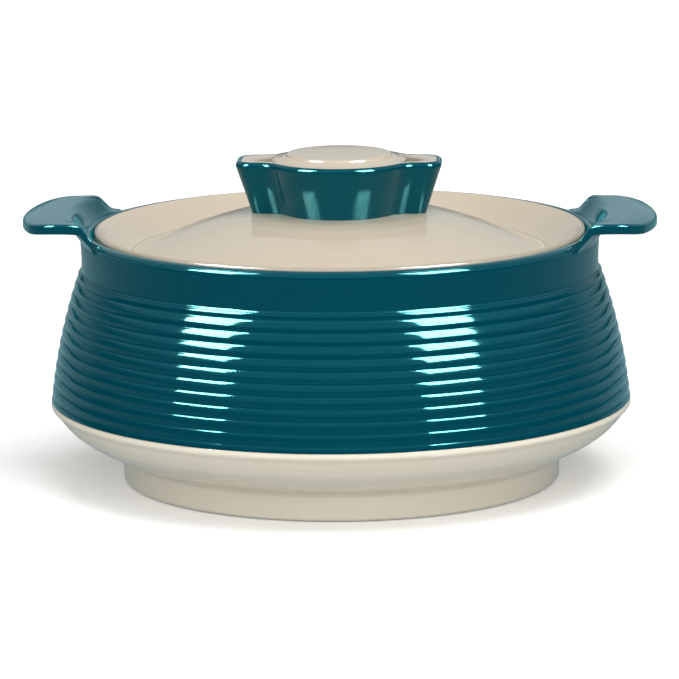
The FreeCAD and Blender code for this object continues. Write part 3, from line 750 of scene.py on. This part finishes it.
def finish_named(name):
    """A material by name, made on first use."""
    found = bpy.data.materials.get(name)
    if found:
        return found
    colours = bpy.context.scene.casserole_colours
    # The teal mouldings' reflections carry little red
    teal_skin = {"rough": 0.05, "drift": 0.05, "shine": (0.22, 0.95, 0.9), "glow": 0.25}
    pale_skin = {"rough": 0.12, "drift": 0.015}
    satin_skin = {"rough": 0.28, "drift": 0.01}
    makers = {
        "teal glossy polypropylene": lambda: glossy_polypropylene(name, colours.teal, **teal_skin),
        "beige glossy polypropylene": lambda: glossy_polypropylene(name, colours.beige, **pale_skin),
        "cream glossy polypropylene": lambda: glossy_polypropylene(name, colours.cream, **pale_skin),
        "white satin polypropylene": lambda: glossy_polypropylene(name, colours.white, **satin_skin),
        "drawn stainless steel": lambda: drawn_steel(name, colours.steel),
        "rigid polyurethane foam": lambda: rigid_foam(name, colours.foam),
        "zinc plated steel": lambda: plated_screw(name),
    }
    return makers[name]()


# Ear handles


def droop(r):
    """How far an ear has dropped below its flat at a radius."""
    bend = (TIP_RUN ** 2 + TIP_FALL ** 2) / (2 * TIP_FALL)
    return bend - math.sqrt(bend ** 2 - max(0, r - TIP_START) ** 2)


def ear_top(r):
    """Height of an ear's upper face at a radius: rim, swept-up ogee, flat and drooping tip."""
    crown_x = EAR_FLAT - TOP_ROUND * math.sin(EAR_SLOPE)
    crown_z = EAR_TOP - TOP_ROUND * (1 - math.cos(EAR_SLOPE))
    foot_x = crown_x - EAR_SWEEP * math.cos(EAR_SLOPE)
    foot_z = crown_z - EAR_SWEEP * math.sin(EAR_SLOPE)
    if r > EAR_FLAT:
        return EAR_TOP - droop(r)
    if r > crown_x:
        return EAR_TOP - TOP_ROUND + math.sqrt(TOP_ROUND ** 2 - (EAR_FLAT - r) ** 2)
    if r > foot_x:
        return foot_z + (r - foot_x) * math.tan(EAR_SLOPE)
    hollow_x = foot_x - TOP_ROUND * math.sin(EAR_SLOPE)
    hollow_z = foot_z + TOP_ROUND * math.cos(EAR_SLOPE)
    tail_x = hollow_x + TOP_ROUND * math.sin(TAIL_SLOPE)
    reach = max(r, tail_x) - hollow_x
    return hollow_z - math.sqrt(TOP_ROUND ** 2 - reach ** 2) - max(0, tail_x - r) * math.tan(TAIL_SLOPE)


def ear_under(r):
    """Height of an ear's lower face at a radius, down to where its web runs into the neck."""
    under_x = EAR_FLAT - UNDER_ROUND * math.sin(EAR_SLOPE)
    under_z = EAR_UNDER - UNDER_ROUND * (1 - math.cos(EAR_SLOPE))
    web_x = under_x - EAR_SWEEP * math.cos(EAR_SLOPE)
    web_z = under_z - EAR_SWEEP * math.sin(EAR_SLOPE)
    if r > EAR_FLAT:
        return EAR_UNDER - droop(r)
    if r > under_x:
        return EAR_UNDER - UNDER_ROUND + math.sqrt(UNDER_ROUND ** 2 - (EAR_FLAT - r) ** 2)
    if r > web_x:
        return web_z + (r - web_x) * math.tan(EAR_SLOPE)
    centre_x = web_x + WEB_ROUND * math.sin(EAR_SLOPE)
    centre_z = web_z - WEB_ROUND * math.cos(EAR_SLOPE)
    return centre_z + math.sqrt(max(0, WEB_ROUND ** 2 - (centre_x - r) ** 2))


def arc_points(centre, radius, first, last, count):
    """Points of an arc in a plan, in degrees, without its last point."""
    spots = []
    for step in range(count):
        angle = math.radians(first + (last - first) * step / count)
        spots.append((centre[0] + radius * math.cos(angle), centre[1] + radius * math.sin(angle)))
    return spots


def ear_outline():
    """The plan of the right ear, anticlockwise: flare from the neck, rounded corners, bowed tip and root."""
    corner_y = EAR_HALF - EAR_CORNER
    corner_x = TIP_CENTRE + math.sqrt((TIP_BOW - EAR_CORNER) ** 2 - corner_y ** 2)
    swing = math.degrees(math.atan2(corner_y, corner_x - TIP_CENTRE))
    flare = (corner_x ** 2 + EAR_HALF ** 2 - NECK_RADIUS ** 2) / (2 * (NECK_RADIUS - EAR_HALF))
    lean = math.degrees(math.atan2(EAR_HALF + flare, corner_x))
    plan = arc_points((corner_x, -EAR_HALF - flare), flare, 180 - lean, 90, count=40)
    plan += arc_points((corner_x, -corner_y), EAR_CORNER, -90, -swing, count=30)
    plan += arc_points((TIP_CENTRE, 0), TIP_BOW, -swing, swing, count=60)
    plan += arc_points((corner_x, corner_y), EAR_CORNER, swing, 90, count=30)
    plan += arc_points((corner_x, EAR_HALF + flare), flare, -90, -180 + lean, count=40)
    plan += arc_points((0, 0), EAR_ROOT, lean, -lean, count=60)
    return plan


def ear_mesh(name):
    """An ear as rings that run in from its plan to a spine, with rounded edges above and below."""
    rings = []
    for x, y in ear_outline():
        spine_y = max(-SPINE_HALF, min(SPINE_HALF, y))
        reach = math.hypot(SPINE_RADIUS - x, spine_y - y)
        inner = [EAR_EDGE + (reach - EAR_EDGE) * ring / INNER_RINGS for ring in range(1, INNER_RINGS + 1)]
        rings.append([(x + (SPINE_RADIUS - x) * step / reach, y + (spine_y - y) * step / reach, step)
                      for step in list(EDGE_DEPTHS) + inner])
    verts = []
    faces = []
    count = len(rings)
    levels = len(rings[0])
    for upper in (True, False):
        for level in range(levels):
            for column in range(count):
                x, y, step = rings[column][level]
                r = math.hypot(x, y)
                # Past the ear's straight sides the top sinks to the rim
                spread = max(0, min(1, (abs(y) - SINK_START) / SINK_RUN))
                top_r = r - SINK_SHIFT * spread * spread * (3 - 2 * spread)
                cut = EAR_EDGE - math.sqrt(max(0, EAR_EDGE ** 2 - max(0, EAR_EDGE - step) ** 2))
                verts.append((x, y, ear_top(top_r) - cut if upper else ear_under(r) + cut))
    under = levels * count
    for column in range(count):
        after = (column + 1) % count
        faces.append((column, under + column, under + after, after)[::-1])
        for level in range(levels - 1):
            low, high = level * count, (level + 1) * count
            faces.append((low + column, low + after, high + after, high + column))
            faces.append((under + low + column, under + high + column,
                          under + high + after, under + low + after))
    return smooth_skin(name, verts, faces)


# Bow-tie knob


def bow_tie(half, bulge, wing, corner):
    """The knob's plan, anticlockwise: a quarter from the wing's end to the middle, then mirrored round."""
    waist_y = wing + WAIST_ROUND
    waist_x = math.sqrt((bulge + WAIST_ROUND) ** 2 - waist_y ** 2)
    lean = math.degrees(math.atan2(waist_y, waist_x))
    straight = [step / STRAIGHT_STEPS for step in range(STRAIGHT_STEPS)]
    quarter = [(half, (wing - corner) * share) for share in straight]
    quarter += arc_points((half - corner, wing - corner), corner, 0, 90, count=12)
    quarter += [(half - corner + (waist_x - half + corner) * share, wing) for share in straight]
    quarter += arc_points((waist_x, waist_y), WAIST_ROUND, 270, 180 + lean, count=14)
    quarter += arc_points((0, 0), bulge, lean, 90, count=24)
    turned_back = [(-x, y) for x, y in quarter[1:]][::-1]
    upper = quarter + [(0, bulge)] + turned_back
    return upper + [(-half, 0)] + [(-x, -y) for x, y in upper[1:]]


def knob_ring(share, inset, z):
    """The knob's outline at a share of its flare, drawn in by an inset and laid at a height."""
    half, bulge, wing, corner = (a + (b - a) * share for a, b in zip(KNOB_FOOT_PLAN, KNOB_TOP_PLAN))
    plan = bow_tie(half - inset, bulge - inset, wing - inset, corner - inset / 2)
    return [(x, y, z) for x, y in plan]


def ringed_mesh(name, rings):
    """A skin over rings of equal count, from the lowest to the innermost, closed below and above."""
    verts = [spot for ring in rings for spot in ring]
    count = len(rings[0])
    faces = []
    for level in range(len(rings) - 1):
        low, high = level * count, (level + 1) * count
        for column in range(count):
            after = (column + 1) % count
            faces.append((low + column, low + after, high + after, high + column))
    faces.append(tuple(range(count))[::-1])
    faces.append(tuple(range(len(verts) - count, len(verts))))
    return smooth_skin(name, verts, faces)


def knob_mesh():
    """The flared knob: foot, straight sides, rolled lip and the recess that takes the inlay."""
    side_top = KNOB_TOP - LIP_HEIGHT
    rings = []
    # Close rings at the foot and below the lip keep the sides straight in shading
    for share in (0, 0.01, 0.2, 0.4, 0.6, 0.8, 0.97, 1):
        rings.append(knob_ring(share, 0, DOME_TOP + (side_top - DOME_TOP) * share))
    for step in range(1, LIP_STEPS + 1):
        angle = math.radians(90 * step / LIP_STEPS)
        rings.append(knob_ring(1, LIP_DRAW * (1 - math.cos(angle)), side_top + LIP_HEIGHT * math.sin(angle)))
    for inset, depth in ((1.75, 0.03), (1.88, 0.2), (1.9, 0.5), (1.95, 3), (2.2, 3.3)):
        rings.append(knob_ring(1, inset, KNOB_TOP - depth))
    return ringed_mesh("bow_tie_knob", rings)


def inlay_mesh():
    """The knob's inlay: a flush plate with a soft edge that swells up to a raised round pad."""
    rings = []
    for inset, depth in ((0, 2.9), (0, 0.5), (0.04, 0.28), (0.14, 0.12), (0.28, 0.03), (0.5, 0)):
        rings.append(knob_ring(1, INLAY_MARGIN + inset, KNOB_TOP - depth))
    edge = rings[-1]
    profile = [spot for spot in PAD_SECTION[PAD_UNDERSIDE:] if spot[0] > SWELL_CENTRE]
    profile.sort(key=lambda spot: -spot[0])
    for radius, z in profile:
        ring = []
        for x, y, _ in edge:
            reach = math.hypot(x, y)
            inside = min(radius, reach - SWELL_SQUEEZE * (SWELL_RADIUS - radius))
            ring.append((x * inside / reach, y * inside / reach, z))
        rings.append(ring)
    return ringed_mesh("knob_inlay", rings)


# Operators, one for each piece or group of like pieces


class CASSEROLE_OT_shell(bpy.types.Operator):
    """Build the ribbed pot with its two ear handles"""

    bl_idname = "casserole.shell"
    bl_label = "Ribbed Pot"

    def execute(self, context):
        teal = finish_named("teal glossy polypropylene")
        wall = turned_mesh("ribbed_pot", shell_section(), teal, ribbed=True)
        joined = bmesh.new()
        joined.from_mesh(wall)
        ear = ear_mesh("ear")
        joined.from_mesh(ear)
        ear.transform(Matrix.Rotation(math.pi, 4, "Z"))
        joined.from_mesh(ear)
        joined.to_mesh(wall)
        joined.free()
        finish_piece("ribbed_pot", wall, "pot", "outer_shell")
        return {"FINISHED"}


class CASSEROLE_OT_base(bpy.types.Operator):
    """Build the base moulding and its foam plug"""

    bl_idname = "casserole.base"
    bl_label = "Base"

    def execute(self, context):
        cream = finish_named("cream glossy polypropylene")
        turned_piece("base_moulding", BASE_SECTION, cream, "pot", "base_shell")
        turned_piece("foot_foam_plug", BASE_PLUG_SECTION, cream, "pot", "base_plug")
        return {"FINISHED"}


class CASSEROLE_OT_bowl(bpy.types.Operator):
    """Build the steel bowl"""

    bl_idname = "casserole.bowl"
    bl_label = "Steel Bowl"

    def execute(self, context):
        steel = finish_named("drawn stainless steel")
        turned_piece("steel_bowl", BOWL_SECTION, steel, "pot", "inner_liner")
        return {"FINISHED"}


class CASSEROLE_OT_lid(bpy.types.Operator):
    """Build the domed lid, its inner pan and the pan's plug"""

    bl_idname = "casserole.lid"
    bl_label = "Lid"

    def execute(self, context):
        beige = finish_named("beige glossy polypropylene")
        white = finish_named("white satin polypropylene")
        turned_piece("lid_tray", LID_SECTION, beige, "lid", "lid_cover")
        turned_piece("lid_pan", PAN_SECTION, white, "lid", "lid_liner")
        turned_piece("pan_foam_plug", LID_PLUG_SECTION, white, "lid", "lid_plug")
        return {"FINISHED"}


class CASSEROLE_OT_knob(bpy.types.Operator):
    """Build the bow-tie knob and its inlay"""

    bl_idname = "casserole.knob"
    bl_label = "Knob"

    def execute(self, context):
        knob = knob_mesh()
        knob.materials.append(finish_named("teal glossy polypropylene"))
        finish_piece("bow_tie_knob", knob, "lid", "knob_body")
        inlay = inlay_mesh()
        inlay.materials.append(finish_named("beige glossy polypropylene"))
        finish_piece("knob_inlay", inlay, "lid", "knob_cap")
        return {"FINISHED"}


class CASSEROLE_OT_hidden(bpy.types.Operator):
    """Give the foam fillings and the knob's screws their materials"""

    bl_idname = "casserole.hidden"
    bl_label = "Foam and Screws"

    def execute(self, context):
        finishes = {
            "body_insulation": "rigid polyurethane foam",
            "lid_insulation": "rigid polyurethane foam",
            "knob_screws": "zinc plated steel",
        }
        for node, finish in finishes.items():
            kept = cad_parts[node]
            if not kept.material_slots:
                kept.data.materials.append(None)
            for place in kept.material_slots:
                place.material = finish_named(finish)
        return {"FINISHED"}


class CASSEROLE_OT_stage(bpy.types.Operator):
    """Set the white floor, the studio lights and the camera"""

    bl_idname = "casserole.stage"
    bl_label = "Studio"

    def execute(self, context):
        # In metres: half the floor's width, and the hair's breadth that it lies below the foot
        half_width, gap = 9, 0.0003
        floor = linked("floor", rectangle("floor", half_width, half_width, -gap))
        floor.data.materials.append(floor_paint())
        studio_surround()
        studio_lights()
        studio_camera()
        return {"FINISHED"}


# Studio


def floor_paint():
    """A floor that the camera sees white and that gives the glossy mouldings little to mirror."""
    made = bpy.data.materials.new("white studio floor")
    made.use_nodes = True
    tree = made.node_tree
    tree.nodes.clear()
    seen = add_node(tree, "ShaderNodeBsdfDiffuse", {"Color": WHITE})
    lift = add_node(tree, "ShaderNodeEmission", {"Color": WHITE, "Strength": 0.17})
    bright = add_node(tree, "ShaderNodeAddShader", None, {0: seen.outputs[0], 1: lift.outputs[0]})
    bounce = add_node(tree, "ShaderNodeBsdfDiffuse", {"Color": (0.56, 0.56, 0.56, 1)})
    mirrored = add_node(tree, "ShaderNodeEmission", {"Color": (0.7, 0.95, 1, 1), "Strength": 0.35})
    ray = add_node(tree, "ShaderNodeLightPath")
    dry = add_node(tree, "ShaderNodeMixShader", None,
                   {0: ray.outputs["Is Camera Ray"], 1: bounce.outputs[0], 2: bright.outputs[0]})
    chosen = add_node(tree, "ShaderNodeMixShader", None,
                      {0: ray.outputs["Is Glossy Ray"], 1: dry.outputs[0], 2: mirrored.outputs[0]})
    # From below the floor is clear, so the underside can be seen
    clear = add_node(tree, "ShaderNodeBsdfTransparent")
    side = add_node(tree, "ShaderNodeNewGeometry")
    either = add_node(tree, "ShaderNodeMixShader", None,
                      {0: side.outputs["Backfacing"], 1: chosen.outputs[0], 2: clear.outputs[0]})
    add_node(tree, "ShaderNodeOutputMaterial", None, {"Surface": either.outputs[0]})
    return made


def studio_surround():
    """A surround that the camera sees white, that fills evenly, and that glossy surfaces mirror in zones."""
    world = bpy.data.worlds.new("studio")
    bpy.context.scene.world = world
    world.use_nodes = True
    tree = world.node_tree
    tree.nodes.clear()
    ray = add_node(tree, "ShaderNodeLightPath")
    seen = add_node(tree, "ShaderNodeBackground", {"Color": WHITE, "Strength": 1})
    fill = add_node(tree, "ShaderNodeBackground", {"Color": WHITE, "Strength": 0.3})
    way = add_node(tree, "ShaderNodeTexCoord").outputs["Generated"]
    parts = add_node(tree, "ShaderNodeSeparateXYZ", None, {0: way}).outputs
    # In mirrors the surround is nearly black in front of the object, pale behind it and bright high up
    fade_back = {"From Min": 0.35, "From Max": 0.95, "To Min": 0.005, "To Max": 0.62}
    behind = add_node(tree, "ShaderNodeMapRange", fade_back, {"Value": parts["Y"]})
    raised = add_node(tree, "ShaderNodeMapRange", {"From Min": 0.02, "From Max": 0.12}, {"Value": parts["Z"]})
    backdrop = add_node(tree, "ShaderNodeMath", {"operation": "MULTIPLY"},
                        {0: behind.outputs[0], 1: raised.outputs[0]})
    fade_up = {"From Min": 0.22, "From Max": 0.4, "To Min": 0, "To Max": 0.68}
    above = add_node(tree, "ShaderNodeMapRange", fade_up, {"Value": parts["Z"]})
    brightest = add_node(tree, "ShaderNodeMath", {"operation": "MAXIMUM"},
                         {0: backdrop.outputs[0], 1: above.outputs[0]})
    mirrored = add_node(tree, "ShaderNodeBackground", {"Color": (0.8, 0.92, 0.95, 1)},
                        {"Strength": brightest.outputs[0]})
    lit = add_node(tree, "ShaderNodeMixShader", None,
                   {0: ray.outputs["Is Camera Ray"], 1: fill.outputs[0], 2: seen.outputs[0]})
    chosen = add_node(tree, "ShaderNodeMixShader", None,
                      {0: ray.outputs["Is Glossy Ray"], 1: lit.outputs[0], 2: mirrored.outputs[0]})
    add_node(tree, "ShaderNodeOutputWorld", None, {"Surface": chosen.outputs[0]})


def studio_lights():
    """Two tall cards and an overhead one that only the glossy surfaces mirror, and two soft lights."""
    card_distance, card_height = 0.95, 0.8
    strips = (
        ("left_card", -56.5, (0.44, 0.6)),
        ("right_card", 50, (0.46, 0.6)),
    )
    for name, azimuth, size in strips:
        angle = math.radians(azimuth)
        spot = Vector((math.sin(angle) * card_distance, -math.cos(angle) * card_distance, card_height))
        mirror_card(name, spot, aim=Vector((0, 0, 0.07)), size=size, strength=75)
    mirror_card("over_card", Vector((0, -0.75, 1.3)), aim=Vector((0, 0, 0.1)), size=(1.5, 0.5), strength=1)
    soft_sun("front", Vector((0.05, -1, 0.3)), spread=110, level=0.78)
    soft_sun("overhead", Vector((0.2, -0.2, 1)), spread=40, level=0.46)


def facing(way):
    """The rotation that turns a card or a lamp to a direction."""
    return way.to_track_quat("-Z", "Y").to_euler()


def mirror_card(name, spot, aim, size, strength):
    """A glowing card that shows in reflections alone."""
    card = linked(name, rectangle(name, size[0] / 2, size[1] / 2))
    card.location = spot
    card.rotation_euler = facing(aim - spot)
    glow = bpy.data.materials.new(name + " glow")
    glow.use_nodes = True
    glow.node_tree.nodes.clear()
    light = add_node(glow.node_tree, "ShaderNodeEmission", {"Color": WHITE, "Strength": strength})
    add_node(glow.node_tree, "ShaderNodeOutputMaterial", None, {"Surface": light.outputs[0]})
    card.data.materials.append(glow)
    card.visible_camera = False
    card.visible_diffuse = False
    card.visible_shadow = False


def soft_sun(name, towards, spread, level):
    """A wide even light that no glossy surface mirrors: its level is what a white card facing it shows."""
    lamp = bpy.data.lights.new(name, "SUN")
    lamp.angle = math.radians(spread)
    lamp.energy = level * math.pi
    lit = linked(name, lamp)
    lit.rotation_euler = facing(-towards)
    lit.visible_glossy = False


def studio_camera():
    """A long lens, 2.1 m away, slightly to the right and above."""
    lens = bpy.data.cameras.new("camera")
    lens.sensor_width = 36
    lens.lens = 257.3
    lens.clip_end = 30
    camera = linked("camera", lens)
    camera.location = (0.1003, -2.0604, 0.4524)
    tilt, swing, roll = (math.radians(degrees) for degrees in (79.21, 2.8, -0.49))
    turn = Euler((tilt, 0, swing)).to_matrix() @ Matrix.Rotation(roll, 3, "Z")
    camera.rotation_euler = turn.to_euler()
    bpy.context.scene.camera = camera


class CASSEROLE_PT_panel(bpy.types.Panel):
    """The casserole's settings and its building steps"""

    bl_idname = "CASSEROLE_PT_panel"
    bl_label = "Casserole"
    bl_space_type = "VIEW_3D"
    bl_region_type = "UI"
    bl_category = "Casserole"

    def draw(self, context):
        layout = self.layout
        for group in (context.scene.casserole_wall, context.scene.casserole_colours):
            box = layout.box()
            for name in group.__annotations__:
                box.prop(group, name)
        for step in STEPS:
            layout.operator(step.bl_idname)


STEPS = (
    CASSEROLE_OT_stage,
    CASSEROLE_OT_shell,
    CASSEROLE_OT_base,
    CASSEROLE_OT_bowl,
    CASSEROLE_OT_lid,
    CASSEROLE_OT_knob,
    CASSEROLE_OT_hidden,
)
CLASSES = (CasseroleWall, CasseroleColours) + STEPS + (CASSEROLE_PT_panel,)


def register():
    for item in CLASSES:
        bpy.utils.register_class(item)
    bpy.types.Scene.casserole_wall = PointerProperty(type=CasseroleWall)
    bpy.types.Scene.casserole_colours = PointerProperty(type=CasseroleColours)


def unregister():
    del bpy.types.Scene.casserole_wall
    del bpy.types.Scene.casserole_colours
    for item in reversed(CLASSES):
        bpy.utils.unregister_class(item)


def main():
    register()
    bpy.context.scene.view_settings.view_transform = "Standard"
    for step in STEPS:
        group, name = step.bl_idname.split(".")
        getattr(getattr(bpy.ops, group), name)()


if __name__ == "__main__":
    main()
